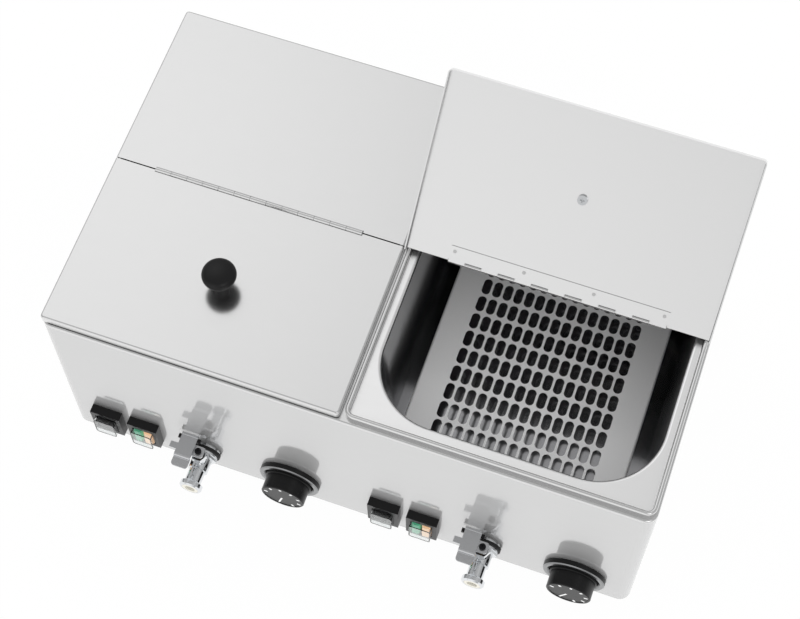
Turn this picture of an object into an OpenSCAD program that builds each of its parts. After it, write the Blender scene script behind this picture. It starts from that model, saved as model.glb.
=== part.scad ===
// Double sausage warmer: two deep water tanks side by side in one steel housing.
// Each side has its own folding lid, sieve floor, switch, pilot lamps, drain tap and thermostat.
// Millimetres, +Z up. The origin is under the middle of the whole warmer, on the table.

/* [Housing] */
// Width of the housing
body_w = 560; // [540:1:640]
// Depth of the housing, front panel to back panel
body_d = 346; // [340:1:400]
// Height of the housing without its feet and rims
body_h = 220; // [212:1:260]
// Radius of the upright corners
corner_r = 11; // [10:0.5:14]
// Radius of the top edge
edge_r = 2; // [1.5:0.1:2.1]
// Thickness of the housing sheet
sheet = 1.2; // [0.8:0.1:1.4]
// Width of the flange turned in at the bottom edge
bottom_return = 9; // [6:0.5:9.5]

/* [Rims] */
// Width of the rounded rim that stands around each tank
rim_t = 4; // [4:0.1:5]
// Height of the rim above the deck
rim_h = 7.5; // [6:0.1:10]
// Outer corner radius of the rim
rim_r = 9; // [8.5:0.25:11]
// Radius of the rim's top edges
rim_round = 1.9; // [1.7:0.1:1.9]
// Gap between the rim and the lid's skirt
rim_gap = 0.5; // [0.4:0.05:0.6]

/* [Tanks] */
// Width of the flat shelf at the tank's sides
shelf_side = 8; // [6:0.5:12]
// Width of the flat shelf at the tank's front and back
shelf_front = 11.5; // [8:0.5:16]
// Corner radius at the lip
tank_r = 60; // [50:1:68]
// Height of a tank from its flange to its floor
tank_depth = 150; // [130:1:155]
// How far the walls lean in from the lip to the floor
tank_draft = 8; // [5:0.5:10]
// Thickness of the tank sheet
tank_t = 1; // [0.8:0.1:1.2]
// Radius of the lip
lip_r = 3; // [2:0.25:4]
// Distance of the drain from the front panel
drain_in = 52; // [48:0.5:60]
// Radius of the drain hole
drain_r = 6; // [4:0.25:6.5]

/* [Sieve floors] */
// Gap between the sieve and the tank's walls at the floor
sieve_gap = 13; // [9:0.5:16]
// Height of the sieve above the tank floor
sieve_h = 29.5; // [20:0.5:45]
// Thickness of the sieve sheet
sieve_t = 1; // [0.8:0.1:1.5]
// Radius of the folds along its sides
sieve_fold_r = 2.5; // [1.5:0.25:4]
// Corner radius of the sieve
sieve_corner = 20; // [17:0.5:26]
// Width of a slot
slot_w = 8.2; // [6:0.1:9]
// Length of a slot
slot_l = 16.6; // [12:0.1:17.4]
// Distance between columns of slots
slot_pitch_x = 10.5; // [10:0.1:11.2]
// Distance between rows of slots
slot_pitch_y = 19; // [18:0.25:19.5]
// Number of columns of slots
slot_cols = 15; // [9:2:15]
// Number of rows of slots
slot_rows = 12; // [6:2:12]

/* [Lids] */
// Gap between the two closed lids
lid_between = 1.4; // [1:0.1:2.4]
// How far the closed lids stay behind the front and back panels
lid_inset = 2.7; // [0.5:0.1:3]
// Gap below the skirt of a closed lid
skirt_gap = 1.2; // [0.4:0.1:2]
// Thickness of the lid sheet
lid_t = 1; // [0.8:0.1:1.2]
// Outer radius of the lid's folded top edges
lid_edge_r = 2; // [1.6:0.1:2.4]
// Radius of the lid's upright corners
lid_corner_r = 3.5; // [3:0.5:6]
// Gap between the two halves of a lid
split_gap = 1.2; // [0.8:0.1:2]
// How far an open front half is turned
lid_open = 133; // [100:1:140]

/* [Hinges] */
// Length of a hinge
hinge_len = 199.3; // [150:0.1:220]
// Number of knuckles, an odd number
knuckles = 13; // [7:2:15]
// Outer radius of a knuckle
knuckle_r = 2.25; // [2:0.05:2.6]
// Radius of the hinge pin
pin_r = 1.2; // [0.9:0.05:1.4]
// Width of a leaf
leaf_w = 15; // [11:0.5:20]
// Thickness of a leaf
leaf_t = 1; // [0.8:0.05:1.2]

/* [Lid knobs] */
// Distance of a knob from the hinge
knob_from_hinge = 90; // [70:1:120]
// Height of a knob
knob_h = 30; // [24:0.5:40]
// Radius of its head
knob_head_r = 15.5; // [12:0.25:18]
// Radius of its neck
knob_neck_r = 6.2; // [5:0.1:8]
// Height of the dome above the widest ring of the head
knob_dome_h = 7.5; // [7:0.25:10]
// Radius of the head's rounded side
knob_round = 6; // [4:0.25:6.5]
// Radius of the knob's screw
knob_screw_r = 2.5; // [1.5:0.1:3]

/* [Front panel layout] */
// Switch position from the unit's middle
switch_x = -99; // [-104:0.5:-95]
// Pilot lamp position from the unit's middle
lamp_x = -61; // [-65:0.5:-55]
// Tap position from the unit's middle
tap_x = 0; // [-15:0.5:15]
// Thermostat position from the unit's middle
dial_x = 86; // [75:0.5:95]
// Height of switches, lamps and thermostats above the housing's lower edge
control_z = 36; // [33:0.5:50]
// Height of the taps above the housing's lower edge
tap_z = 34; // [30:0.5:42]

/* [Switches and lamps] */
// Width of a frame
frame_w = 30; // [28:0.5:34]
// Height of a frame
frame_h = 40; // [38:0.5:46]
// How far a frame stands out at its top
frame_top = 8.5; // [8:0.25:12]
// How far a frame stands out at its bottom
frame_bottom = 7.5; // [7:0.25:8]
// Thickness of a frame's side walls
frame_wall = 3; // [2.5:0.1:3.5]
// Width of the clear cover's bulge
cover_w = 21; // [19:0.25:22]
// Height of the clear cover's bulge
cover_h = 27; // [24:0.25:30]
// How far the clear cover stands out from the panel
cover_out = 13.5; // [13.25:0.25:18]
// Thickness of the clear cover
cover_t = 1; // [0.8:0.1:1.2]
// Width of a rocker
rocker_w = 17; // [13:0.25:17.5]
// Height of a rocker
rocker_h = 22; // [16:0.25:23]
// Angle of a rocker to either side
rocker_tilt = 8; // [4:0.5:9]
// Radius of the rocker's pivot stubs
rocker_pin_r = 1.5; // [1:0.1:1.8]
// Width of one lamp lens
lens_w = 8; // [7:0.25:8.2]
// Height of one lamp lens
lens_h = 23; // [18:0.25:24]
// Width of the bar between the two lenses
lens_bar = 2; // [1:0.1:2.4]
// Depth of the switch and lamp bodies behind the panel
switch_depth = 22; // [15:0.5:30]

/* [Thermostats] */
// Outer radius of the bezel ring
bezel_r = 29.5; // [28:0.25:33]
// Inner radius of the bezel ring
bezel_in_r = 24; // [23.5:0.1:26]
// Thickness of the bezel ring
bezel_t = 5.5; // [3:0.25:7]
// Radius of the dial at its skirt
dial_r = 22.8; // [22:0.1:23.2]
// Radius of the dial's face
dial_face_r = 21.2; // [17:0.1:21.5]
// How far the dial's face stands out
dial_out = 22; // [20:0.25:30]
// Radius of the thermostat shaft
shaft_r = 3; // [2.5:0.1:3.5]
// Size of the square thermostat body
stat_size = 38; // [32:0.5:42]
// Depth of the thermostat body
stat_depth = 30; // [25:0.5:40]

/* [Drain taps] */
// How far a tap stands out
tap_out = 42; // [39:0.5:55]
// Radius of the outlet tube
tube_r = 8; // [7.5:0.1:8.6]
// Radius of the bore through the tap
tube_bore_r = 5; // [3.5:0.1:5.4]
// Radius of the collar at the outlet
collar_r = 11; // [10:0.1:12]
// Length of that collar
collar_l = 6; // [4:0.25:7]
// Outer radius of the sleeve in the outlet's mouth
sleeve_r = 8; // [6.5:0.1:8.6]
// Length of that sleeve
sleeve_l = 5; // [3:0.25:5.5]
// Radius of the valve chamber
valve_r = 9.8; // [9.4:0.1:11]
// Radius of the ball in the valve
ball_r = 7; // [6:0.1:7.4]
// Distance of the valve stem from the panel
stem_y = 14; // [13.75:0.25:16]
// Radius of the valve stem
stem_r = 3; // [2.5:0.1:3.4]
// Height of the lever's hub above the tap's axis
lever_z = 26; // [24:0.25:32]
// Thickness of the lever
lever_t = 2; // [1.5:0.1:2.4]
// Length of the lever from its stem
lever_len = 20; // [16:0.5:26]
// Outer radius of the panel seal
seal_r = 15.3; // [13.9:0.1:17]
// Thickness of the panel seal
seal_t = 3; // [2.5:0.25:3.5]
// Thickness of the round washer between the panel and the seal
washer_t = 1.6; // [1:0.1:2]
// Radius of the flange in front of the seal
flange_r = 13.4; // [12:0.1:13.8]
// Width across the flats of the tap's hexagon and locknut
nut_flats = 24; // [20:0.5:26]
// Length of the tap's tail behind the panel
tail_l = 18; // [15:0.5:22]

/* [Base and back] */
// Height of the feet below the housing
foot_h = 18; // [10:0.5:30]
// Radius of a foot
foot_r = 16; // [12:0.5:20]
// Distance of a foot's middle from the housing's sides
foot_inset = 42; // [36:1:70]
// How far the cable gland stands out at the back
gland_out = 14; // [10:0.5:20]
// Radius of the cable gland's bore
gland_bore_r = 4; // [3:0.1:5]
// Height of the cable gland above the housing's lower edge
gland_z = 30; // [25:0.5:45]
// Thickness of a heater plate
heater_t = 8; // [5:0.25:10]
// Thickness of the base plate
base_t = 1.2; // [0.8:0.1:2]
// Length of an air slot in the base plate
vent_l = 40; // [20:1:60]
// Width of an air slot in the base plate
vent_w = 5; // [3:0.5:8]
// Distance of the terminal block from the back panel
terminal_in = 70; // [50:1:90]
// Depth of the terminal block
terminal_d = 22; // [18:0.5:30]
// Height of the terminal block
terminal_h = 20; // [14:0.5:26]

/* [Clearances] */
// Gap at a seat between pieces that come apart
seat_gap = 0.3; // [0.2:0.05:0.5]
// Gap around a piece fixed in a hole
hole_gap = 0.2; // [0.1:0.05:0.4]
// Radial gap of a turning pin in its bore
run_gap = 0.06; // [0.03:0.01:0.1]

/* [Hidden] */
$fn = 64;
left = -1;
right = 1;
front_y = tap_out - (tap_out + body_d + gland_out) / 2;
mid_y = front_y + body_d / 2;
deck_z = foot_h + body_h;
unit_pitch = body_w / 2;
lid_w = unit_pitch - lid_between;
lid_d = body_d - 2 * lid_inset;
lid_rise = rim_h + seat_gap + lid_t;
lid_z = deck_z + lid_rise;
skirt_h = lid_rise - skirt_gap;
rim_w = lid_w - 2 * (lid_t + rim_gap);
rim_d = lid_d - 2 * (lid_t + rim_gap);
well_w = rim_w - 2 * rim_t;
well_d = rim_d - 2 * rim_t;
tank_w = well_w - 2 * shelf_side;
tank_d = well_d - 2 * shelf_front;
shelf_z = deck_z + tank_t;
floor_z = shelf_z - tank_depth;
drain_y = body_d / 2 - drain_in;
sieve_w = tank_w - 2 * (tank_draft + sieve_gap);
sieve_d = tank_d - 2 * (tank_draft + sieve_gap);
hinge_z = lid_z - lid_t - leaf_t + knuckle_r;
knuckle_l = hinge_len / knuckles;
knuckle_gap = 0.3;
leaf_notch = knuckle_r + 0.35;
tap_axis_z = foot_h + tap_z;
control_axis_z = foot_h + control_z;
pin_bore_r = pin_r + run_gap;
cover_flange = 1.2;
frame_front_t = 1.8;
frame_cut_w = frame_w - 2 * frame_wall;
frame_cut_h = frame_h - 2 * frame_wall;
body_cut_w = frame_cut_w - 4;
body_cut_h = frame_cut_h - 4;
rocker_y = frame_bottom - frame_front_t - cover_flange - rocker_pin_r - 0.4;
knob_ring_z = knob_h - knob_dome_h;
hex_k = 2 / sqrt(3);
foot_screw_r = 2.5;
outlet_from = stem_y + ball_r + seat_gap;
inlet_r = tube_bore_r - 0.5;
seal_front = washer_t + seal_t;
lever_inner = 4;
lever_rise = 4;
lever_gap = 1.2;
bend_in = 0.5;
bend_out = bend_in + lever_t;
lever_back = stem_y - lever_gap - bend_out;
lever_front = 9;
lip_from = lever_front + bend_out + bend_in;
lip_out = 8;

function unit_x(side) = side * unit_pitch / 2;

// Flat rectangle with round corners
module round_rect(w, d, r) {
    square([w - 2 * r, d], center = true);
    square([w, d - 2 * r], center = true);
    for (x = [-1, 1], y = [-1, 1])
        translate([x * (w / 2 - r), y * (d / 2 - r)]) circle(r);
}

// Slot with round ends, long in Y
module slot(w, l) {
    square([w, l - w], center = true);
    for (y = [-1, 1]) translate([0, y * (l - w) / 2]) circle(d = w);
}

// Quarter of a ring in the upper right
module quarter_ring(outer, inner) {
    intersection() {
        difference() {
            circle(outer);
            if (inner > 0) circle(inner);
        }
        square(outer);
    }
}

// Runs a profile round a rectangle with round corners; the profile's X is measured from the corner's centre
module frame_sweep(w, d, r) {
    for (k = [0 : 3]) {
        run_x = k % 2 == 0 ? w : d;
        run_y = k % 2 == 0 ? d : w;
        rotate([0, 0, 90 * k]) translate([run_x / 2 - r, run_y / 2 - r, 0]) {
            rotate([90, 0, 0]) linear_extrude(run_y - 2 * r) children();
            rotate_extrude(angle = 90) children();
        }
    }
}

// Places children on the front panel, with -Y pointing out of it
module on_panel(side, x, z) {
    translate([unit_x(side) + x, front_y, z]) children();
}

// A round bar along -Y that starts at the panel's face
module bar(r, from, to) {
    translate([0, -from, 0]) rotate([90, 0, 0]) cylinder(r = r, h = to - from);
}

// A hexagonal bar along -Y
module hex_bar(flats, from, to) {
    translate([0, -from, 0]) rotate([90, 0, 0]) cylinder(r = flats / 2 * hex_k, h = to - from, $fn = 6);
}

module both_sides() {
    for (side = [left, right]) {
        $side = side;
        children();
    }
}

// Housing

module wall_profile() {
    translate([corner_r - sheet, 0]) square([sheet, body_h - edge_r]);
    translate([corner_r - bottom_return, 0]) square([bottom_return, sheet]);
}

module edge_profile() {
    translate([corner_r - edge_r, -edge_r]) quarter_ring(edge_r, edge_r - sheet);
}

module rim_profile() {
    translate([rim_r - rim_t, 0]) square([rim_t, rim_h - rim_round]);
    translate([rim_r - rim_t + rim_round, 0]) square([rim_t - 2 * rim_round, rim_h]);
    translate([rim_r - rim_round, rim_h - rim_round]) quarter_ring(rim_round, 0);
    translate([rim_r - rim_t + rim_round, rim_h - rim_round]) mirror([1, 0]) quarter_ring(rim_round, 0);
}

module tank_outline(grow) {
    round_rect(tank_w + 2 * grow, tank_d + 2 * grow, tank_r + grow);
}

// Top sheet with its bent edge and the two rims
module top_deck() {
    color("#dcddde") translate([0, mid_y, deck_z]) {
        translate([0, 0, -sheet]) linear_extrude(sheet) difference() {
            round_rect(body_w - 2 * edge_r, body_d - 2 * edge_r, corner_r - edge_r);
            both_sides() translate([unit_x($side), 0]) tank_outline(lip_r + hole_gap);
        }
        frame_sweep(body_w, body_d, corner_r) edge_profile();
        both_sides() translate([unit_x($side), 0, 0]) frame_sweep(rim_w, rim_d, rim_r) rim_profile();
    }
}

module panel_cuts() {
    both_sides() {
        for (x = [switch_x, lamp_x])
            on_panel($side, x, control_axis_z)
                translate([0, sheet / 2, 0])
                    cube([body_cut_w, 4 * sheet, body_cut_h], center = true);
        on_panel($side, tap_x, tap_axis_z) bar(tube_r + hole_gap, -3 * sheet, sheet);
        on_panel($side, dial_x, control_axis_z) bar(shaft_r + 2, -3 * sheet, sheet);
    }
    translate([0, front_y + body_d, foot_h + gland_z]) bar(gland_bore_r + 4 + hole_gap, -sheet, 3 * sheet);
}

module housing_shell() {
    color("#d9dadb") difference() {
        translate([0, mid_y, foot_h]) frame_sweep(body_w, body_d, corner_r) wall_profile();
        panel_cuts();
    }
}

module base_plate() {
    vents = 9;
    vent_pitch = vent_w * 2.8;
    color("#c4c6c8") translate([0, mid_y, foot_h + sheet]) linear_extrude(base_t) difference() {
        round_rect(body_w - 2 * (sheet + seat_gap), body_d - 2 * (sheet + seat_gap), corner_r - sheet);
        for (x = [-1, 1], y = [-1, 1])
            translate([x * (body_w / 2 - foot_inset), y * (body_d / 2 - foot_inset)])
                circle(foot_screw_r + hole_gap);
        both_sides() for (k = [0 : vents - 1])
            translate([unit_x($side) + (k - (vents - 1) / 2) * vent_pitch, body_d / 6]) slot(vent_w, vent_l);
    }
}

module at_feet() {
    translate([0, mid_y, 0]) for (x = [-1, 1], y = [-1, 1])
        translate([x * (body_w / 2 - foot_inset), y * (body_d / 2 - foot_inset), 0]) children();
}

module feet() {
    color("#1d1d1e") at_feet() rotate_extrude() difference() {
        polygon([[0, 0], [foot_r - 2, 0], [foot_r - 1, 1], [foot_r, foot_h + sheet], [0, foot_h + sheet]]);
        square([foot_screw_r + hole_gap, foot_h + 2 * sheet]);
        square([foot_screw_r * 2 + 1, foot_h / 2]);
    }
}

module foot_screws() {
    head_h = 3;
    color("#b9bbbe") at_feet() {
        translate([0, 0, foot_h / 2 - head_h]) cylinder(r = foot_screw_r * 2, h = head_h);
        translate([0, 0, foot_h / 2]) cylinder(r = foot_screw_r, h = foot_h / 2 + sheet + base_t + 4);
        translate([0, 0, foot_h + sheet + base_t]) difference() {
            cylinder(r = foot_screw_r * 1.6 * hex_k, h = 4, $fn = 6);
            translate([0, 0, -1]) cylinder(r = foot_screw_r - 0.4, h = 6);
        }
    }
}

// Tanks and sieves

module tank_profile() {
    translate([tank_r + lip_r, -lip_r]) mirror([1, 0]) quarter_ring(lip_r, lip_r - tank_t);
    polygon([
        [tank_r, -lip_r], [tank_r + tank_t, -lip_r],
        [tank_r + tank_t - tank_draft, -tank_depth], [tank_r - tank_draft, -tank_depth]
    ]);
}

module tank(side) {
    color("#cfd0d1") translate([unit_x(side), mid_y, shelf_z]) {
        translate([0, 0, -tank_t]) linear_extrude(tank_t) difference() {
            round_rect(well_w - 2 * seat_gap, well_d - 2 * seat_gap, rim_r - rim_t - seat_gap);
            tank_outline(lip_r);
        }
        frame_sweep(tank_w, tank_d, tank_r) tank_profile();
        translate([0, 0, -tank_depth - tank_t]) linear_extrude(tank_t) difference() {
            tank_outline(tank_t - tank_draft);
            translate([tap_x, -drain_y]) circle(drain_r);
        }
    }
}

module sieve(side) {
    flat_w = sieve_w - 2 * sieve_fold_r;
    leg_l = sieve_d - 2 * sieve_corner - 6;
    color("#d4d5d6") translate([unit_x(side), mid_y, floor_z]) {
        translate([0, 0, sieve_h - sieve_t]) linear_extrude(sieve_t) difference() {
            round_rect(flat_w, sieve_d, sieve_corner);
            translate([(1 - slot_cols) / 2 * slot_pitch_x, (1 - slot_rows) / 2 * slot_pitch_y])
                for (i = [0 : slot_cols - 1], j = [0 : slot_rows - 1])
                    translate([i * slot_pitch_x, j * slot_pitch_y]) slot(slot_w, slot_l);
        }
        for (m = [0, 1]) mirror([m, 0, 0]) translate([flat_w / 2, leg_l / 2, 0])
            rotate([90, 0, 0]) linear_extrude(leg_l) {
                translate([0, sieve_h - sieve_fold_r]) quarter_ring(sieve_fold_r, sieve_fold_r - sieve_t);
                translate([sieve_fold_r - sieve_t, seat_gap])
                    square([sieve_t, sieve_h - sieve_fold_r - seat_gap]);
            }
    }
}

// Lids and hinges

module lid_profile() {
    translate([lid_corner_r - lid_edge_r, -lid_edge_r]) quarter_ring(lid_edge_r, lid_edge_r - lid_t);
    translate([lid_corner_r - lid_t, -skirt_h]) square([lid_t, skirt_h - lid_edge_r]);
}

module lid_tray() {
    frame_sweep(lid_w, lid_d, lid_corner_r) lid_profile();
    translate([0, 0, -lid_t]) linear_extrude(lid_t)
        round_rect(lid_w - 2 * lid_edge_r, lid_d - 2 * lid_edge_r, lid_corner_r - lid_edge_r);
}

// Half of the tray; dir is -1 for the front half and 1 for the rear half
module lid_half(dir) {
    reach = lid_d;
    difference() {
        intersection() {
            lid_tray();
            translate([-lid_w, dir < 0 ? -reach - split_gap / 2 : split_gap / 2, -reach / 2])
                cube([2 * lid_w, reach, reach]);
        }
        cube([hinge_len + 2 * knuckle_gap, 2 * leaf_notch, 4 * lid_t], center = true);
        if (dir < 0) translate([0, -knob_from_hinge, -2 * lid_t])
            cylinder(r = knob_screw_r + hole_gap, h = 4 * lid_t);
    }
}

// A leaf with its knuckles; parity 0 has the end knuckles
module hinge_leaf(dir, parity) {
    leaf_from = knuckle_r + 0.3;
    translate([-hinge_len / 2, dir < 0 ? -leaf_w : leaf_from, -lid_t - leaf_t])
        cube([hinge_len, leaf_w - leaf_from, leaf_t]);
    for (k = [parity : 2 : knuckles - 1])
        translate([-hinge_len / 2 + k * knuckle_l + knuckle_gap / 2, 0, hinge_z - lid_z])
            rotate([90, 0, 90]) linear_extrude(knuckle_l - knuckle_gap) difference() {
                union() {
                    circle(knuckle_r);
                    translate([dir < 0 ? -leaf_from : 0, -knuckle_r]) square([leaf_from, leaf_t]);
                }
                circle(pin_bore_r);
            }
}

module at_lid(side) {
    translate([unit_x(side), mid_y, lid_z]) children();
}

// The front half and what is fixed to it; the right one stands open
module at_front_lid(side) {
    at_lid(side) translate([0, 0, hinge_z - lid_z])
        rotate([side == right ? -lid_open : 0, 0, 0])
            translate([0, 0, lid_z - hinge_z]) children();
}

module rear_lid(side) { color("#d6d7d8") at_lid(side) lid_half(1); }
module front_lid(side) { color("#d6d7d8") at_front_lid(side) lid_half(-1); }
module rear_leaf(side) { color("#c8cacb") at_lid(side) hinge_leaf(1, 1); }
module front_leaf(side) { color("#c8cacb") at_front_lid(side) hinge_leaf(-1, 0); }

module hinge_pin(side) {
    color("#aeb0b3") at_lid(side) translate([-hinge_len / 2, 0, hinge_z - lid_z])
        rotate([0, 90, 0]) cylinder(r = pin_r, h = hinge_len);
}

module lid_knob(side) {
    bore_h = 16;
    round_x = knob_head_r - knob_round;
    dome_r = (pow(round_x, 2) + pow(knob_dome_h, 2) - pow(knob_round, 2))
        / (2 * (knob_dome_h - knob_round));
    color("#202021") at_front_lid(side) translate([0, -knob_from_hinge, 0]) rotate_extrude() difference() {
        union() {
            square([knob_neck_r, knob_ring_z]);
            translate([0, knob_ring_z - knob_round]) square([round_x, 2 * knob_round]);
            translate([round_x, knob_ring_z]) circle(knob_round);
            intersection() {
                translate([0, knob_h - dome_r]) circle(dome_r);
                translate([0, knob_ring_z])
                    square([round_x * dome_r / (dome_r - knob_round), knob_dome_h]);
            }
        }
        square([knob_screw_r + hole_gap, bore_h]);
    }
}

module knob_screw(side) {
    head_r = knob_screw_r * 1.8;
    head_h = 2.2;
    color("#b4b6b8") at_front_lid(side) translate([0, -knob_from_hinge, -lid_t]) {
        cylinder(r = knob_screw_r, h = 15);
        translate([0, 0, -head_h]) difference() {
            cylinder(r = head_r, h = head_h);
            for (a = [0, 90]) rotate([0, 0, a]) translate([-1.9, -0.5, -1]) cube([3.8, 1, 2.2]);
        }
    }
}

// Switches and lamps

module control_frame() {
    half = frame_h / 2;
    rotate([90, 0, 90]) translate([0, 0, -frame_w / 2]) linear_extrude(frame_w)
        polygon([[0, -half], [0, half], [-frame_top, half], [-frame_bottom, -half]]);
}

module frame_body(bored) {
    inner_out = frame_bottom - frame_front_t;
    difference() {
        control_frame();
        translate([-frame_cut_w / 2, -inner_out, -frame_cut_h / 2])
            cube([frame_cut_w, inner_out + 1, frame_cut_h]);
        translate([0, -frame_top, 0])
            cube([cover_w + 2 * hole_gap, 4 * frame_top, cover_h + 2 * hole_gap], center = true);
        if (bored) translate([-frame_w, -rocker_y, 0]) rotate([0, 90, 0])
            translate([0, 0, frame_w / 2 + 1]) cylinder(r = rocker_pin_r + run_gap, h = frame_w - 2);
    }
}

module clear_cover() {
    inner_out = frame_bottom - frame_front_t;
    flange_w = frame_cut_w - 2 * hole_gap;
    flange_h = frame_cut_h - 2 * hole_gap;
    difference() {
        union() {
            translate([0, -inner_out, 0]) rotate([90, 0, 0]) linear_extrude(cover_out - inner_out)
                round_rect(cover_w, cover_h, 3);
            translate([0, -inner_out + cover_flange, 0]) rotate([90, 0, 0]) linear_extrude(cover_flange)
                round_rect(flange_w, flange_h, 2);
        }
        translate([0, cover_flange, 0]) rotate([90, 0, 0])
            linear_extrude(cover_out + cover_flange - cover_t)
                round_rect(cover_w - 2 * cover_t, cover_h - 2 * cover_t, 2);
    }
}

module switch_body(stand) {
    translate([-body_cut_w / 2 + hole_gap, -stand, -body_cut_h / 2 + hole_gap])
        cube([body_cut_w - 2 * hole_gap, stand + sheet + switch_depth, body_cut_h - 2 * hole_gap]);
    for (x = [-1, 1], z = [-1, 1])
        translate([x * body_cut_w / 4, sheet + switch_depth + 3, z * body_cut_h / 4])
            cube([0.8, 6, 6.3], center = true);
}

module rocker(side) {
    swing = rocker_h / 2;
    out = cover_out - cover_t - 2.5;
    color("#2b2b2d") on_panel(side, switch_x, control_axis_z) translate([0, -rocker_y, 0])
        rotate([rocker_tilt, 0, 0]) {
            rotate([90, 0, 90]) translate([0, 0, -rocker_w / 2]) linear_extrude(rocker_w) polygon([
                [1, -swing / 2], [1, swing / 2], [-2, swing], [rocker_y - out, swing],
                [rocker_y - out + 2, 0], [rocker_y - out, -swing], [-2, -swing]
            ]);
            translate([-frame_cut_w / 2 - 1.5, 0, 0]) rotate([0, 90, 0])
                cylinder(r = rocker_pin_r, h = frame_cut_w + 3);
        }
}

module at_controls(x) {
    both_sides() on_panel($side, x, control_axis_z) children();
}

module switch_frames() { color("#19191a") at_controls(switch_x) frame_body(true); }
module lamp_frames() { color("#19191a") at_controls(lamp_x) frame_body(false); }
module switch_covers() { color("#eef2f2", 0.4) at_controls(switch_x) clear_cover(); }
module lamp_covers() { color("#eef2f2", 0.4) at_controls(lamp_x) clear_cover(); }
module switch_bodies() { color("#1f1f20") at_controls(switch_x) switch_body(0); }
module lamp_holders() { color("#1f1f20") at_controls(lamp_x) switch_body(3); }

// One lens of a pilot lamp pair; dir says on which side of the pair it sits
module lens(dir) {
    stand = 3;
    out = cover_out - cover_t - 3;
    translate([dir * (lens_w + lens_bar) / 2, -stand, 0]) rotate([90, 0, 0]) {
        linear_extrude(out - stand - 1.5) round_rect(lens_w, lens_h, 1);
        translate([0, 0, out - stand - 1.5]) linear_extrude(1.5)
            round_rect(lens_w - 1.5, lens_h - 1.5, 0.7);
    }
}

module green_lenses() { color("#3f9c77") at_controls(lamp_x) lens(-1); }
module orange_lenses() { color("#f0b27a") at_controls(lamp_x) lens(1); }

// Thermostats

module knob_bezels() {
    color("#3a3a3c") at_controls(dial_x) rotate([90, 0, 0]) rotate_extrude() polygon([
        [bezel_in_r, 0], [bezel_r, 0], [bezel_r, bezel_t - 1], [bezel_r - 1, bezel_t],
        [bezel_in_r + 1.5, bezel_t], [bezel_in_r, bezel_t - 1.5]
    ]);
}

module dial(side) {
    skirt = 1;
    wall = 2;
    boss_r = shaft_r + 3;
    face_t = 2.5;
    color("#232324") on_panel(side, dial_x, control_axis_z) rotate([90, 0, 0]) rotate_extrude()
        difference() {
            polygon([
                [0, skirt], [dial_r, skirt], [dial_r, bezel_t + 1], [dial_r - 0.5, bezel_t + 1.5],
                [dial_face_r, bezel_t + 1.5], [dial_face_r, dial_out - 0.8], [dial_face_r - 0.8, dial_out],
                [dial_face_r - 2.2, dial_out], [dial_face_r - 2.6, dial_out - 0.5], [0, dial_out - 0.5]
            ]);
            polygon([
                [boss_r, 0], [dial_face_r - wall, 0],
                [dial_face_r - wall, dial_out - face_t], [boss_r, dial_out - face_t]
            ]);
            square([shaft_r + run_gap, dial_out - face_t]);
        }
}

module dial_shaft(side) {
    face_t = 2.5;
    color("#b7b9bb") on_panel(side, dial_x, control_axis_z)
        bar(shaft_r, -sheet - stat_depth * 0.6, dial_out - face_t - seat_gap);
}

module thermostats() {
    bush_r = shaft_r + 2 - hole_gap;
    color("#b98f4e") at_controls(dial_x) difference() {
        union() {
            translate([-stat_size / 2, sheet, -stat_size / 2]) cube([stat_size, stat_depth, stat_size]);
            bar(bush_r, -sheet - 1, -hole_gap);
        }
        bar(shaft_r + run_gap, -sheet - stat_depth * 0.6 - 1, sheet);
    }
}

// Drain taps

module tap_body(side) {
    flange_t = 2.5;
    hex_t = 2.5;
    neck_r = stem_r + 3.2;
    nut_z = lever_z - 9;
    tube_from = stem_y + valve_r - 1;
    valve_from = seal_front + flange_t + hex_t;
    color("#c9ccd0") on_panel(side, tap_x, tap_axis_z) difference() {
        union() {
            bar(tube_r, -sheet - tail_l, seal_front);
            bar(seal_r - 1.5, 0, washer_t);
            bar(flange_r, seal_front, seal_front + flange_t);
            hex_bar(nut_flats, seal_front + flange_t, valve_from);
            bar(valve_r, valve_from, tube_from);
            bar(tube_r, tube_from, tap_out - collar_l);
            translate([0, -tap_out + collar_l, 0]) rotate([90, 0, 0]) rotate_extrude() polygon([
                [0, 0], [collar_r - 1, 0], [collar_r, 1],
                [collar_r, collar_l - 1.2], [collar_r - 1.2, collar_l], [0, collar_l]
            ]);
            translate([0, -stem_y, 0]) {
                cylinder(r = neck_r, h = nut_z);
                translate([0, 0, nut_z]) cylinder(r = (neck_r + 0.6) * hex_k, h = 6, $fn = 6);
            }
        }
        bar(inlet_r, -sheet - tail_l - 1, stem_y);
        bar(ball_r + seat_gap / 2, stem_y - ball_r - seat_gap, outlet_from);
        bar(tube_bore_r, outlet_from - 0.1, tap_out);
        bar(sleeve_r + hole_gap / 2, tap_out - sleeve_l - hole_gap / 2, tap_out + 1);
        translate([0, -stem_y, 0]) cylinder(r = stem_r + run_gap, h = lever_z);
    }
}

module outlet_sleeves() {
    color("#eceae4") both_sides() on_panel($side, tap_x, tap_axis_z) difference() {
        bar(sleeve_r, tap_out - sleeve_l, tap_out);
        bar(tube_bore_r, tap_out - sleeve_l - 1, tap_out + 1);
    }
}

module tap_seals() {
    color("#141414") both_sides() on_panel($side, tap_x, tap_axis_z) difference() {
        bar(seal_r, washer_t, seal_front);
        bar(tube_r + hole_gap, -1, seal_front + 1);
    }
}

module tap_locknuts() {
    color("#b9965a") both_sides() on_panel($side, tap_x, tap_axis_z) difference() {
        hex_bar(nut_flats, -sheet - 6, -sheet);
        bar(tube_r + hole_gap, -sheet - 7, 0);
    }
}

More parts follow.
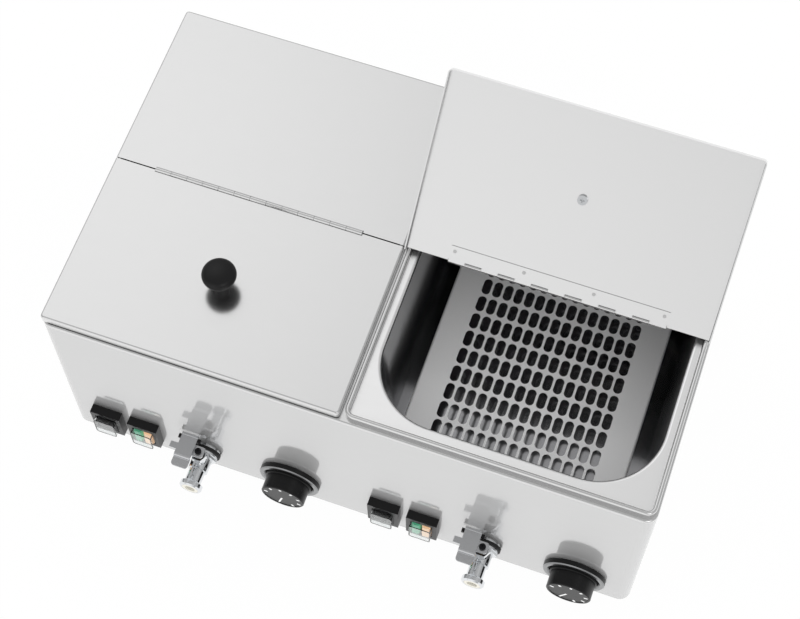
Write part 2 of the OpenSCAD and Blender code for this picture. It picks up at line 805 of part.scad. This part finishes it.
module tap_stem(side) {
    color("#c2a36a") on_panel(side, tap_x, tap_axis_z) translate([0, -stem_y, 0]) difference() {
        union() {
            sphere(r = ball_r);
            cylinder(r = stem_r, h = lever_z);
        }
        rotate([0, 90, 0]) translate([0, 0, -ball_r - 1])
            cylinder(r = tube_bore_r - 1, h = 2 * ball_r + 2);
        translate([0, 0, lever_z - 9]) cylinder(r = stem_r - 1.2 + run_gap, h = 10);
    }
}

// Section of the bent handle plate, forward to the right: rear upstand, grip, step down, lip
module lever_profile() {
    top = lever_rise + lever_t;
    translate([-lever_back, top + bend_in]) rotate(180) quarter_ring(bend_out, bend_in);
    translate([-lever_back - bend_out, top + bend_in]) square([lever_t, 1]);
    translate([-lever_back, lever_rise]) square([lever_back + lever_front, lever_t]);
    translate([lever_front, top - bend_out]) quarter_ring(bend_out, bend_in);
    translate([lip_from, top - bend_out]) rotate(180) quarter_ring(bend_out, bend_in);
}

// Bent handle plate with a front lip, a hub on the stem and a side tab
module tap_lever(side) {
    grip_l = lever_len - lever_inner;
    lip_z = lever_rise + lever_t - 2 * bend_out;
    corner = 3;
    color("#a9acb0") on_panel(side, tap_x, tap_axis_z) translate([0, -stem_y, lever_z]) difference() {
        union() {
            translate([-lever_len, 0, 0]) mirror([0, 1, 0]) rotate([90, 0, 90])
                linear_extrude(grip_l) lever_profile();
            translate([-lever_len, -lip_from, lip_z]) linear_extrude(lever_t) {
                translate([0, corner - lip_out]) square([grip_l, lip_out - corner]);
                translate([corner, -lip_out]) square([grip_l - 2 * corner, lip_out]);
                for (x = [corner, grip_l - corner]) translate([x, corner - lip_out]) circle(corner);
            }
            linear_extrude(lever_t) {
                translate([-lever_inner - lever_t, -5.5]) square([lever_inner + lever_t, 11]);
                round_rect(11, 11, 3);
            }
            translate([-lever_inner - lever_t, -5.5, 0]) cube([lever_t, 11, lever_rise + lever_t]);
            translate([-lever_len - 7, -5, lever_rise]) cube([7 + lever_t, 6, lever_t]);
        }
        translate([0, 0, -1]) cylinder(r = stem_r - 1.2 + hole_gap, h = lever_t + 2);
    }
}

module lever_pad(side) {
    pad = 3;
    color("#111112") on_panel(side, tap_x, tap_axis_z)
        translate([-lever_len - pad, -stem_y + lever_back - pad, lever_z + lever_rise - pad])
            cube([lever_len - lever_inner + 2 * pad, pad + 1, pad]);
}

module lever_screw(side) {
    color("#55575a") on_panel(side, tap_x, tap_axis_z) translate([0, -stem_y, lever_z]) difference() {
        union() {
            translate([0, 0, -8]) cylinder(r = stem_r - 1.2, h = 8 + lever_t);
            translate([0, 0, lever_t]) cylinder(r = 3.2, h = 2);
        }
        translate([0, 0, lever_t + 0.8]) cylinder(r = 1.6, h = 3, $fn = 6);
    }
}

// Inside

module drain_elbows() {
    run = body_d / 2 - drain_y;
    pipe_r = drain_r + 2;
    color("#b4b6b8") both_sides() on_panel($side, tap_x, tap_axis_z) difference() {
        union() {
            bar(pipe_r + 1, -run - pipe_r - 2, -sheet - tail_l);
            translate([0, run, 0]) cylinder(r = pipe_r, h = floor_z - tank_t - tap_axis_z);
        }
        bar(inlet_r, -run, -sheet - tail_l + 1);
        translate([0, run, 0]) cylinder(r = drain_r, h = floor_z - tap_axis_z);
    }
}

module heaters() {
    heat_w = 170;
    heat_from = -90;
    heat_to = 125;
    color("#9b9da0") both_sides() translate([unit_x($side), mid_y, floor_z - tank_t - heater_t])
        linear_extrude(heater_t) translate([0, (heat_from + heat_to) / 2])
            round_rect(heat_w, heat_to - heat_from, 12);
}

module terminal_block() {
    poles = 3;
    pole_w = 12;
    color("#e6e3da") translate([-poles * pole_w / 2, front_y + body_d - terminal_in, foot_h + sheet + base_t])
        difference() {
            cube([poles * pole_w, terminal_d, terminal_h]);
            for (k = [0 : poles - 1], y = [terminal_d / 4, terminal_d * 3 / 4])
                translate([(k + 0.5) * pole_w, y, terminal_h / 2])
                    cylinder(r = pole_w / 5, h = terminal_h);
        }
}

module cable_gland() {
    thread_r = gland_bore_r + 4;
    color("#1a1a1b") translate([0, front_y + body_d, foot_h + gland_z]) rotate([0, 0, 180]) difference() {
        union() {
            bar(thread_r, -sheet - 10, 0);
            hex_bar(2 * thread_r + 6, 0, 5);
            bar(thread_r + 0.5, 5, gland_out - 2);
            translate([0, -gland_out + 2, 0]) rotate([90, 0, 0])
                cylinder(r1 = thread_r + 0.5, r2 = gland_bore_r + 1.5, h = 2);
            hex_bar(2 * thread_r + 5, -sheet - 5, -sheet);
        }
        bar(gland_bore_r, -sheet - 11, gland_out + 1);
    }
}

housing_shell();
top_deck();
base_plate();
tank(left);  // left_tank
tank(right);  // right_tank
feet();
foot_screws();
switch_frames();
switch_covers();
switch_bodies();
lamp_frames();
lamp_covers();
lamp_holders();
green_lenses();
orange_lenses();
knob_bezels();
thermostats();
tap_body(left);  // left_tap_body
tap_body(right);  // right_tap_body
outlet_sleeves();
tap_seals();
tap_locknuts();
drain_elbows();
heaters();
terminal_block();
cable_gland();
rear_lid(left);  // left_rear_lid
rear_lid(right);  // right_rear_lid
rear_leaf(left);  // left_rear_leaf
rear_leaf(right);  // right_rear_leaf
hinge_pin(left);  // left_hinge_pin
hinge_pin(right);  // right_hinge_pin
front_lid(left);  // left_front_lid
front_lid(right);  // right_front_lid
front_leaf(left);  // left_front_leaf
front_leaf(right);  // right_front_leaf
lid_knob(left);  // left_lid_knob
lid_knob(right);  // right_lid_knob
knob_screw(left);  // left_knob_screw
knob_screw(right);  // right_knob_screw
sieve(left);  // left_sieve
sieve(right);  // right_sieve
rocker(left);  // left_rocker
rocker(right);  // right_rocker
dial(left);  // left_dial
dial(right);  // right_dial
dial_shaft(left);  // left_dial_shaft
dial_shaft(right);  // right_dial_shaft
tap_stem(left);  // left_tap_stem
tap_stem(right);  // right_tap_stem
tap_lever(left);  // left_tap_lever
tap_lever(right);  // right_tap_lever
lever_pad(left);  // left_lever_pad
lever_pad(right);  // right_lever_pad
lever_screw(left);  // left_lever_screw
lever_screw(right);  // right_lever_screw
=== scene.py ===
import math

import bpy
from mathutils import Matrix, Vector


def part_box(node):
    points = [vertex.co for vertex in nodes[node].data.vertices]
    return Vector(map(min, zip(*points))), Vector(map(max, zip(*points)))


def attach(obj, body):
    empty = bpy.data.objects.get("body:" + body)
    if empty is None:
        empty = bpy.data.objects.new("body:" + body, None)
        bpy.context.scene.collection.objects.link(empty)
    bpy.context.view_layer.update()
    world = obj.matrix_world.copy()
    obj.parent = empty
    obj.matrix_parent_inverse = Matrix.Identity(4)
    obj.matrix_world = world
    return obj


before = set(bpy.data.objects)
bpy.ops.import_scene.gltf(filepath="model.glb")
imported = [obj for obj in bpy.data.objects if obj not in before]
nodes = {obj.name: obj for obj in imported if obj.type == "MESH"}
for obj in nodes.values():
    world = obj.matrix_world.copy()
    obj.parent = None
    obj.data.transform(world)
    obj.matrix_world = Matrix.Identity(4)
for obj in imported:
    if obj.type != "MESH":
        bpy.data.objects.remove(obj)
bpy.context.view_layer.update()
sides = ("left", "right")
print("stage: frame loaded")

# the photograph's camera, fitted to the housing's edges
cameraValues = {
    "place": (0.24768, -0.70386, 1.72910),
    "right": (0.94232, 0.33459, -0.00965),
    "down": (0.29366, -0.84021, -0.45586),
    "forward": (-0.16063, 0.42673, -0.89000),
    "focalPixels": 1875.6,
    "imageWidth": 800.0,
    "sensor": 36.0,
    "middle": (381.5, 246.8),
    "imageMiddle": (400.0, 309.5),
    "far": 50.0,
}
lightValues = {
    "fill": 1.3,
    "roomLevel": 0.50,
    "highBox": {"way": (-0.381, 0.421, 0.823), "edge": 0.89, "core": 0.995, "level": 1.07},
    "lowBox": {"way": (-0.250, -0.930, 0.270), "edge": 0.80, "core": 0.985, "level": 1.02},
    "keyPlace": (1.6, -1.8, 2.2),
    "keySize": 1.4,
    "keyPower": 8.0,
    "keyAim": (0.0, 0.0, 0.15),
    "floorSize": 9.0,
    "floorGlow": 0.97,
}
# scale on a thermostat dial's face, in metres and degrees clockwise from the top
dialValues = {
    "count": 7,
    "radius": 0.0170,
    "start": -81.0,
    "sweep": 227.0,
    "length": 0.0040,
    "width": 0.0024,
    "lift": 0.00015,
    "recess": 0.0005,
    "pointerTurn": -165.0,
    "pointerFrom": 0.0030,
    "pointerTo": 0.0168,
    "pointerWidth": 0.0017,
    "turn": {"left": 0.0, "right": 10.0},
}
# tick on a rocker, whose face lies "out" from the pivot and rises by "rise" over "run"
rockerValues = {
    "width": 0.0018,
    "height": 0.0036,
    "up": 0.0086,
    "lift": 0.0002,
    "tilt": 8.0,
    "pivot": 0.0026,
    "out": 0.0054,
    "rise": 0.002,
    "run": 0.011,
}
weldValues = {"count": 4, "corners": 24, "radius": 0.0017, "spread": 0.191, "back": 0.0103, "lift": 0.00008}
# faces that take another finish: a bezel's front, and a tank's flange down to just below its top, which is
# given a brighter steel as painted light
finishAndShadeValues = {"bezelFront": -0.4, "flangeUp": 0.6, "flangeDepth": 0.0012}
noiseValues = {"detail": 3.0, "fineness": 0.6, "height": 0.0002, "sheetSpread": 0.05}
hingeValues = {"leafUnder": 0.0020, "open": {"left": 0.0, "right": -133.0}}


# Materials


def linearColour(code):
    parts = [int(code[i:i + 2], 16) / 255.0 for i in (1, 3, 5)]
    return tuple(c / 12.92 if c <= 0.04045 else ((c + 0.055) / 1.055) ** 2.4 for c in parts) + (1.0,)


def addNode(tree, kind, **inputs):
    node = tree.nodes.new(kind)
    for name, value in inputs.items():
        node.inputs[name.replace("_", " ")].default_value = value
    return node


# Colour and shine, with a noise that varies the shine and lifts the surface a little
def surface(name, colour, metallic=0.0, roughness=0.4, grain=400.0, stretch=(1.0, 1.0, 1.0), spread=0.04,
            bump=0.02, **extra):
    made = bpy.data.materials.new(name)
    made.use_nodes = True
    tree = made.node_tree
    shader = tree.nodes["Principled BSDF"]
    shader.inputs["Base Color"].default_value = linearColour(colour)
    shader.inputs["Metallic"].default_value = metallic
    for key, value in extra.items():
        shader.inputs[key].default_value = value
    place = addNode(tree, "ShaderNodeTexCoord")
    shape = addNode(tree, "ShaderNodeMapping", Scale=stretch)
    noise = addNode(tree, "ShaderNodeTexNoise", Scale=grain, Detail=noiseValues["detail"],
                    Roughness=noiseValues["fineness"])
    shine = addNode(tree, "ShaderNodeMapRange", To_Min=roughness - spread, To_Max=roughness + spread)
    lift = addNode(tree, "ShaderNodeBump", Strength=bump, Distance=noiseValues["height"])
    tree.links.new(place.outputs["Object"], shape.inputs["Vector"])
    tree.links.new(shape.outputs["Vector"], noise.inputs["Vector"])
    tree.links.new(noise.outputs["Fac"], shine.inputs["Value"])
    tree.links.new(shine.outputs["Result"], shader.inputs["Roughness"])
    tree.links.new(noise.outputs["Fac"], lift.inputs["Height"])
    tree.links.new(lift.outputs["Normal"], shader.inputs["Normal"])
    return made


# Fine grain along one direction, as ground sheet metal has
def grainedMetal(name, colour, roughness, grain, stretch, bump, coat, metallic=1.0):
    return surface(name, colour, metallic, roughness, grain, stretch, noiseValues["sheetSpread"], bump,
                   **{"Coat Weight": 1.0, "Coat IOR": coat[0], "Coat Roughness": coat[1]})


materials = {
    # ground stainless sheet of the housing: broad sheen under a fainter clear reflection
    "panelSteel": grainedMetal("panelSteel", "#c4c4c4", 0.55, 60.0, (1.0, 12.0, 12.0), 0.01,
                               coat=(2.9, 0.07)),
    # smoother stainless sheet of the lids, the deck and its rims
    "lidSteel": grainedMetal("lidSteel", "#dedede", 0.19, 60.0, (1.0, 12.0, 12.0), 0.004, coat=(1.5, 0.3)),
    # stamped stainless sheet of the sieve floors, set as matt and not as a mirror
    "sieveSteel": grainedMetal("sieveSteel", "#e4e4e4", 0.45, 60.0, (12.0, 1.0, 12.0), 0.01, coat=(1.6, 0.2),
                               metallic=0.0),
    # flat flanges of the tanks, brushed, in a steel brighter than the tank's own as painted light
    "litFlangeSteel": grainedMetal("litFlangeSteel", "#fafafa", 0.30, 30.0, (1.0, 8.0, 8.0), 0.0002,
                                coat=(1.5, 0.3)),
    # deep drawn and polished stainless steel, its colour darkened as painted shade so that a tank looks
    # almost black inside
    "shadedPolishedSteel": surface("shadedPolishedSteel", "#9a9a9c", metallic=1.0, roughness=0.13),
    # galvanised base sheet
    "galvanisedSteel": surface("galvanisedSteel", "#b4b7ba", metallic=1.0, roughness=0.45),
    # bright plated brass of the taps
    "chromePlate": surface("chromePlate", "#e4e6e8", metallic=1.0, roughness=0.07),
    # stamped steel of the tap levers
    "leverSteel": surface("leverSteel", "#cbccce", metallic=1.0, roughness=0.24),
    # zinc plated screws and pins
    "screwSteel": surface("screwSteel", "#c2c4c6", metallic=1.0, roughness=0.28),
    # darkened lever screws
    "darkSteel": surface("darkSteel", "#2c2c2e", metallic=1.0, roughness=0.35),
    # brass of stems, locknuts and thermostats
    "brass": surface("brass", "#b8945a", metallic=1.0, roughness=0.3),
    # cast aluminium of the heater plates
    "castAluminium": surface("castAluminium", "#a3a5a8", metallic=1.0, roughness=0.5),
    # black rubber of seals and feet
    "blackRubber": surface("blackRubber", "#141414", roughness=0.65),
    # moulded black plastic of knobs, frames and rockers
    "blackPlastic": surface("blackPlastic", "#0a0a0b", roughness=0.34, **{"Specular IOR Level": 0.3}),
    # pale plastic of the terminal block and the outlet sleeves
    "palePlastic": surface("palePlastic", "#e2dfd4", roughness=0.5),
    # clear moulded cover
    "clearPlastic": surface("clearPlastic", "#f4f6f6", roughness=0.05, spread=0.02, bump=0.0, IOR=1.45,
                            **{"Transmission Weight": 1.0}),
    # tinted lamp lenses, faintly lit from behind
    "greenLens": surface("greenLens", "#5db58f", roughness=0.2,
                         **{"Emission Color": linearColour("#5db58f"), "Emission Strength": 0.3}),
    "orangeLens": surface("orangeLens", "#fbdcbc", roughness=0.2,
                          **{"Emission Color": linearColour("#fbc898"), "Emission Strength": 0.4}),
    # white printed marks
    "whitePrint": surface("whitePrint", "#f2f2f2", roughness=0.5),
    # bright face of the bezel rings
    "ringMetal": surface("ringMetal", "#929394", metallic=1.0, roughness=0.3),
    # spots where the hinge leaves are welded to the lids
    "weldSpot": surface("weldSpot", "#c6c6c6", metallic=1.0, roughness=0.4),
}

looks = {
    "housing_shell": "panelSteel", "top_deck": "lidSteel", "base_plate": "galvanisedSteel",
    "feet": "blackRubber", "foot_screws": "screwSteel", "outlet_sleeves": "palePlastic",
    "switch_frames": "blackPlastic", "switch_covers": "clearPlastic", "switch_bodies": "blackPlastic",
    "lamp_frames": "blackPlastic", "lamp_covers": "clearPlastic", "lamp_holders": "blackPlastic",
    "green_lenses": "greenLens", "orange_lenses": "orangeLens", "knob_bezels": "blackPlastic",
    "thermostats": "brass", "tap_seals": "blackRubber", "tap_locknuts": "brass",
    "drain_elbows": "shadedPolishedSteel", "heaters": "castAluminium", "terminal_block": "palePlastic",
    "cable_gland": "blackPlastic",
}
sideLooks = {
    "tank": "shadedPolishedSteel", "tap_body": "chromePlate", "rear_lid": "lidSteel", "front_lid": "lidSteel",
    "rear_leaf": "lidSteel", "front_leaf": "lidSteel", "hinge_pin": "screwSteel", "lid_knob": "blackPlastic",
    "knob_screw": "screwSteel", "sieve": "sieveSteel", "rocker": "blackPlastic", "dial": "blackPlastic",
    # the lever pads are black pieces set under the rear edge of each tap lever
    "dial_shaft": "screwSteel", "tap_stem": "brass", "tap_lever": "leverSteel", "lever_pad": "blackPlastic",
    "lever_screw": "darkSteel",
}
for side in sides:
    for tail, look in sideLooks.items():
        looks[side + "_" + tail] = look
for name, look in looks.items():
    data = nodes[name].data
    data.materials.clear()
    data.materials.append(materials[look])
# the bezel rings are black with a bright front face
bezel = nodes["knob_bezels"].data
bezel.materials.append(materials["ringMetal"])
for polygon in bezel.polygons:
    polygon.material_index = 1 if polygon.normal.y < finishAndShadeValues["bezelFront"] else 0
# a tank is bright on its flat flange and dark below the lip, as painted light on the flange and painted shade
# on the walls of the same steel
for side in sides:
    tank = nodes[side + "_tank"].data
    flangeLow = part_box(side + "_tank")[1].z - finishAndShadeValues["flangeDepth"]
    tank.materials.append(materials["litFlangeSteel"])
    for polygon in tank.polygons:
        flat = polygon.normal.z > finishAndShadeValues["flangeUp"] and polygon.center.z > flangeLow
        polygon.material_index = 1 if flat else 0
print("stage: materials set on", len(looks), "nodes")


# Small printed and pressed marks


def meshPiece(name, points, faces, material):
    data = bpy.data.meshes.new(name)
    data.from_pydata(points, [], faces)
    data.materials.append(material)
    data.update()
    piece = bpy.data.objects.new(name, data)
    bpy.context.scene.collection.objects.link(piece)
    return piece


def newGroup(name, inputs):
    group = bpy.data.node_groups.new(name, "GeometryNodeTree")
    group.interface.new_socket("Geometry", in_out="INPUT", socket_type="NodeSocketGeometry")
    for label, kind in inputs:
        group.interface.new_socket(label, in_out="INPUT", socket_type="NodeSocket" + kind)
    group.interface.new_socket("Geometry", in_out="OUTPUT", socket_type="NodeSocketGeometry")
    return group, group.nodes.new("NodeGroupInput"), group.nodes.new("NodeGroupOutput")


def mathNode(group, operation, first, second=None):
    node = group.nodes.new("ShaderNodeMath")
    node.operation = operation
    for socket, value in zip(node.inputs, (first, second)):
        if isinstance(value, (int, float)):
            socket.default_value = value
        elif value is not None:
            group.links.new(value, socket)
    return node.outputs[0]


def endGroup(group, given, end, instances):
    real = group.nodes.new("GeometryNodeRealizeInstances")
    paint = group.nodes.new("GeometryNodeSetMaterial")
    group.links.new(instances, real.inputs["Geometry"])
    group.links.new(real.outputs["Geometry"], paint.inputs["Geometry"])
    group.links.new(given.outputs["Material"], paint.inputs["Material"])
    group.links.new(paint.outputs["Geometry"], end.inputs["Geometry"])
    return group


# Bars that stand around a circle in the XZ plane and face -Y
def ringGroup():
    group, given, end = newGroup("ringMarks", (
        ("Count", "Int"), ("Radius", "Float"), ("Start", "Float"), ("Sweep", "Float"),
        ("Length", "Float"), ("Width", "Float"), ("Material", "Material")))
    line = group.nodes.new("GeometryNodeMeshLine")
    line.inputs["Offset"].default_value = (0, 0, 0)
    group.links.new(given.outputs["Count"], line.inputs["Count"])
    index = group.nodes.new("GeometryNodeInputIndex").outputs[0]
    last = mathNode(group, "SUBTRACT", given.outputs["Count"], 1)
    part = mathNode(group, "DIVIDE", index, mathNode(group, "MAXIMUM", last, 1))
    swept = mathNode(group, "MULTIPLY", part, given.outputs["Sweep"])
    turn = mathNode(group, "ADD", swept, given.outputs["Start"])
    place = group.nodes.new("ShaderNodeCombineXYZ")
    for operation, axis in (("SINE", "X"), ("COSINE", "Z")):
        way = mathNode(group, operation, turn)
        group.links.new(mathNode(group, "MULTIPLY", way, given.outputs["Radius"]), place.inputs[axis])
    move = group.nodes.new("GeometryNodeSetPosition")
    group.links.new(line.outputs["Mesh"], move.inputs["Geometry"])
    group.links.new(place.outputs[0], move.inputs["Position"])
    grid = group.nodes.new("GeometryNodeMeshGrid")
    grid.inputs["Vertices X"].default_value = 2
    grid.inputs["Vertices Y"].default_value = 2
    group.links.new(given.outputs["Width"], grid.inputs["Size X"])
    group.links.new(given.outputs["Length"], grid.inputs["Size Y"])
    face = group.nodes.new("GeometryNodeTransform")
    face.inputs["Rotation"].default_value = (math.radians(90), 0, 0)
    group.links.new(grid.outputs["Mesh"], face.inputs["Geometry"])
    angles = group.nodes.new("ShaderNodeCombineXYZ")
    group.links.new(turn, angles.inputs["Y"])
    rotation = group.nodes.new("FunctionNodeEulerToRotation")
    group.links.new(angles.outputs[0], rotation.inputs[0])
    spread = group.nodes.new("GeometryNodeInstanceOnPoints")
    group.links.new(move.outputs["Geometry"], spread.inputs["Points"])
    group.links.new(face.outputs["Geometry"], spread.inputs["Instance"])
    group.links.new(rotation.outputs[0], spread.inputs["Rotation"])
    return endGroup(group, given, end, spread.outputs["Instances"])


# Round spots in a row along X that face +Z
def rowGroup():
    group, given, end = newGroup("rowMarks", (
        ("Count", "Int"), ("Spread", "Float"), ("Radius", "Float"), ("Material", "Material")))
    line = group.nodes.new("GeometryNodeMeshLine")
    group.links.new(given.outputs["Count"], line.inputs["Count"])
    last = mathNode(group, "MAXIMUM", mathNode(group, "SUBTRACT", given.outputs["Count"], 1), 1)
    first = group.nodes.new("ShaderNodeCombineXYZ")
    step = group.nodes.new("ShaderNodeCombineXYZ")
    group.links.new(mathNode(group, "MULTIPLY", given.outputs["Spread"], -0.5), first.inputs["X"])
    group.links.new(mathNode(group, "DIVIDE", given.outputs["Spread"], last), step.inputs["X"])
    group.links.new(first.outputs[0], line.inputs["Start Location"])
    group.links.new(step.outputs[0], line.inputs["Offset"])
    disc = group.nodes.new("GeometryNodeMeshCircle")
    disc.fill_type = "NGON"
    disc.inputs["Vertices"].default_value = weldValues["corners"]
    group.links.new(given.outputs["Radius"], disc.inputs["Radius"])
    spread = group.nodes.new("GeometryNodeInstanceOnPoints")
    group.links.new(line.outputs["Mesh"], spread.inputs["Points"])
    group.links.new(disc.outputs["Mesh"], spread.inputs["Instance"])
    return endGroup(group, given, end, spread.outputs["Instances"])


# Runs a node group once and keeps the result as a plain mesh, put in place by a matrix
def nodePiece(name, group, values, matrix):
    piece = meshPiece(name, [], [], values["Material"])
    modifier = piece.modifiers.new("marks", "NODES")
    modifier.node_group = group
    for item in group.interface.items_tree:
        if item.in_out == "INPUT" and item.name in values:
            modifier[item.identifier] = values[item.name]
    bpy.context.view_layer.update()
    made = bpy.data.meshes.new_from_object(piece.evaluated_get(bpy.context.evaluated_depsgraph_get()))
    piece.modifiers.clear()
    made.transform(matrix)
    piece.data = made
    made.name = name
    return piece


def turned(axis, degrees):
    return Matrix.Rotation(math.radians(degrees), 4, axis)


ringMarks, rowMarks = ringGroup(), rowGroup()
for side in sides:
    low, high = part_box(side + "_dial")
    face = (low + high) / 2
    face.y = low.y + dialValues["recess"] - dialValues["lift"]
    turn = math.radians(dialValues["turn"][side])
    pieces = {
        "DialScale": {
            "Count": dialValues["count"], "Radius": dialValues["radius"],
            "Start": turn + math.radians(dialValues["start"]), "Sweep": math.radians(dialValues["sweep"]),
            "Length": dialValues["length"], "Width": dialValues["width"],
        },
        "DialPointer": {
            "Count": 1, "Radius": (dialValues["pointerFrom"] + dialValues["pointerTo"]) / 2,
            "Start": turn + math.radians(dialValues["pointerTurn"]), "Sweep": 0.0,
            "Length": dialValues["pointerTo"] - dialValues["pointerFrom"],
            "Width": dialValues["pointerWidth"],
        },
    }
    for tail, values in pieces.items():
        values["Material"] = materials["whitePrint"]
        marks = nodePiece(side + tail, ringMarks, values, Matrix.Translation(face))
        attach(marks, side + "_thermostat_dial")

    low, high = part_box(side + "_rocker")
    frameLow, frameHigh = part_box("switch_frames")
    middle = (frameLow + frameHigh) / 2
    pivot = Vector(((low.x + high.x) / 2, frameHigh.y - rockerValues["pivot"], middle.z))
    values = {
        "Count": 1, "Radius": rockerValues["up"], "Start": 0.0, "Sweep": 0.0,
        "Length": rockerValues["height"], "Width": rockerValues["width"], "Material": materials["whitePrint"],
    }
    out = Vector((0, -rockerValues["out"] - rockerValues["lift"], 0))
    lean = turned("X", math.degrees(math.atan2(rockerValues["rise"], rockerValues["run"])))
    tilted = Matrix.Translation(pivot) @ turned("X", rockerValues["tilt"])
    mark = nodePiece(side + "RockerMark", ringMarks, values, tilted @ Matrix.Translation(out) @ lean)
    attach(mark, side + "_switch_rocker")

    low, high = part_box(side + "_hinge_pin")
    hinge = (low + high) / 2
    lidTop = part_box(side + "_rear_lid")[1].z
    under = Vector((0, -weldValues["back"], lidTop - hingeValues["leafUnder"] - weldValues["lift"] - hinge.z))
    welds = nodePiece(side + "HingeWelds", rowMarks, {
        "Count": weldValues["count"], "Spread": weldValues["spread"], "Radius": weldValues["radius"],
        "Material": materials["weldSpot"],
    }, Matrix.Translation(hinge) @ turned("X", hingeValues["open"][side]) @ Matrix.Translation(under)
        @ turned("X", 180.0))
    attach(welds, side + "_lid_front_half")
print("stage: marks made")

# Camera, light and floor
cameraData = bpy.data.cameras.new("photoCamera")
camera = bpy.data.objects.new("photoCamera", cameraData)
bpy.context.scene.collection.objects.link(camera)
right, down, forward = (Vector(cameraValues[k]) for k in ("right", "down", "forward"))
turnMatrix = Matrix((right, -down, -forward)).transposed().to_4x4()
camera.matrix_world = Matrix.Translation(cameraValues["place"]) @ turnMatrix
cameraData.sensor_fit = "HORIZONTAL"
cameraData.sensor_width = cameraValues["sensor"]
cameraData.lens = cameraValues["focalPixels"] * cameraValues["sensor"] / cameraValues["imageWidth"]
cameraData.shift_x = (cameraValues["imageMiddle"][0] - cameraValues["middle"][0]) / cameraValues["imageWidth"]
cameraData.shift_y = (cameraValues["middle"][1] - cameraValues["imageMiddle"][1]) / cameraValues["imageWidth"]
cameraData.clip_end = cameraValues["far"]
bpy.context.scene.camera = camera


def softLight(name, place, size, power):
    data = bpy.data.lights.new(name, "AREA")
    data.shape = "DISK"
    data.size = size
    data.energy = power
    lamp = bpy.data.objects.new(name, data)
    lamp.location = place
    lamp.rotation_euler = (Vector(lightValues["keyAim"]) - Vector(place)).to_track_quat("-Z", "Y").to_euler()
    bpy.context.scene.collection.objects.link(lamp)


softLight("keyLight", lightValues["keyPlace"], lightValues["keySize"], lightValues["keyPower"])

half = lightValues["floorSize"] / 2
# the floor glows almost white by itself
paleFloor = surface("paleFloor", "#1c1c1c", roughness=0.9, **{
    "Emission Color": (1, 1, 1, 1), "Emission Strength": lightValues["floorGlow"]})
floor = meshPiece("studioFloor", [(-half, -half, 0), (half, -half, 0), (half, half, 0), (-half, half, 0)],
                  [(0, 1, 2, 3)], paleFloor)

# two wide soft boxes in a darker room, which only mirroring surfaces see; the rest gets an even light, and
# the camera sees white
world = bpy.data.worlds.new("studio")
bpy.context.scene.world = world
world.use_nodes = True
tree = world.node_tree
tree.nodes.clear()
way = addNode(tree, "ShaderNodeTexCoord")
levels = []
for box in (lightValues["highBox"], lightValues["lowBox"]):
    near = addNode(tree, "ShaderNodeVectorMath")
    near.operation = "DOT_PRODUCT"
    near.inputs[1].default_value = box["way"]
    level = addNode(tree, "ShaderNodeMapRange", From_Min=box["edge"], From_Max=box["core"],
                    To_Min=lightValues["roomLevel"], To_Max=box["level"])
    tree.links.new(way.outputs["Generated"], near.inputs[0])
    tree.links.new(near.outputs["Value"], level.inputs["Value"])
    levels.append(level.outputs["Result"])
brighter = addNode(tree, "ShaderNodeMath")
brighter.operation = "MAXIMUM"
mirrored = addNode(tree, "ShaderNodeBackground", Color=(1, 1, 1, 1))
room = addNode(tree, "ShaderNodeBackground", Color=(1, 1, 1, 1), Strength=lightValues["fill"])
white = addNode(tree, "ShaderNodeBackground", Color=(1, 1, 1, 1), Strength=1.0)
path = addNode(tree, "ShaderNodeLightPath")
clear = addNode(tree, "ShaderNodeMath")
clear.operation = "MAXIMUM"
gloss = addNode(tree, "ShaderNodeMixShader")
mix = addNode(tree, "ShaderNodeMixShader")
end = addNode(tree, "ShaderNodeOutputWorld")
for socket, level in zip(brighter.inputs, levels):
    tree.links.new(level, socket)
tree.links.new(brighter.outputs[0], mirrored.inputs["Strength"])
tree.links.new(path.outputs["Is Glossy Ray"], gloss.inputs[0])
tree.links.new(room.outputs[0], gloss.inputs[1])
tree.links.new(mirrored.outputs[0], gloss.inputs[2])
tree.links.new(path.outputs["Is Camera Ray"], clear.inputs[0])
tree.links.new(path.outputs["Is Transmission Ray"], clear.inputs[1])
tree.links.new(clear.outputs[0], mix.inputs[0])
tree.links.new(gloss.outputs[0], mix.inputs[1])
tree.links.new(white.outputs[0], mix.inputs[2])
tree.links.new(mix.outputs[0], end.inputs["Surface"])
bpy.context.scene.view_settings.view_transform = "Standard"
print("stage: camera and light set")
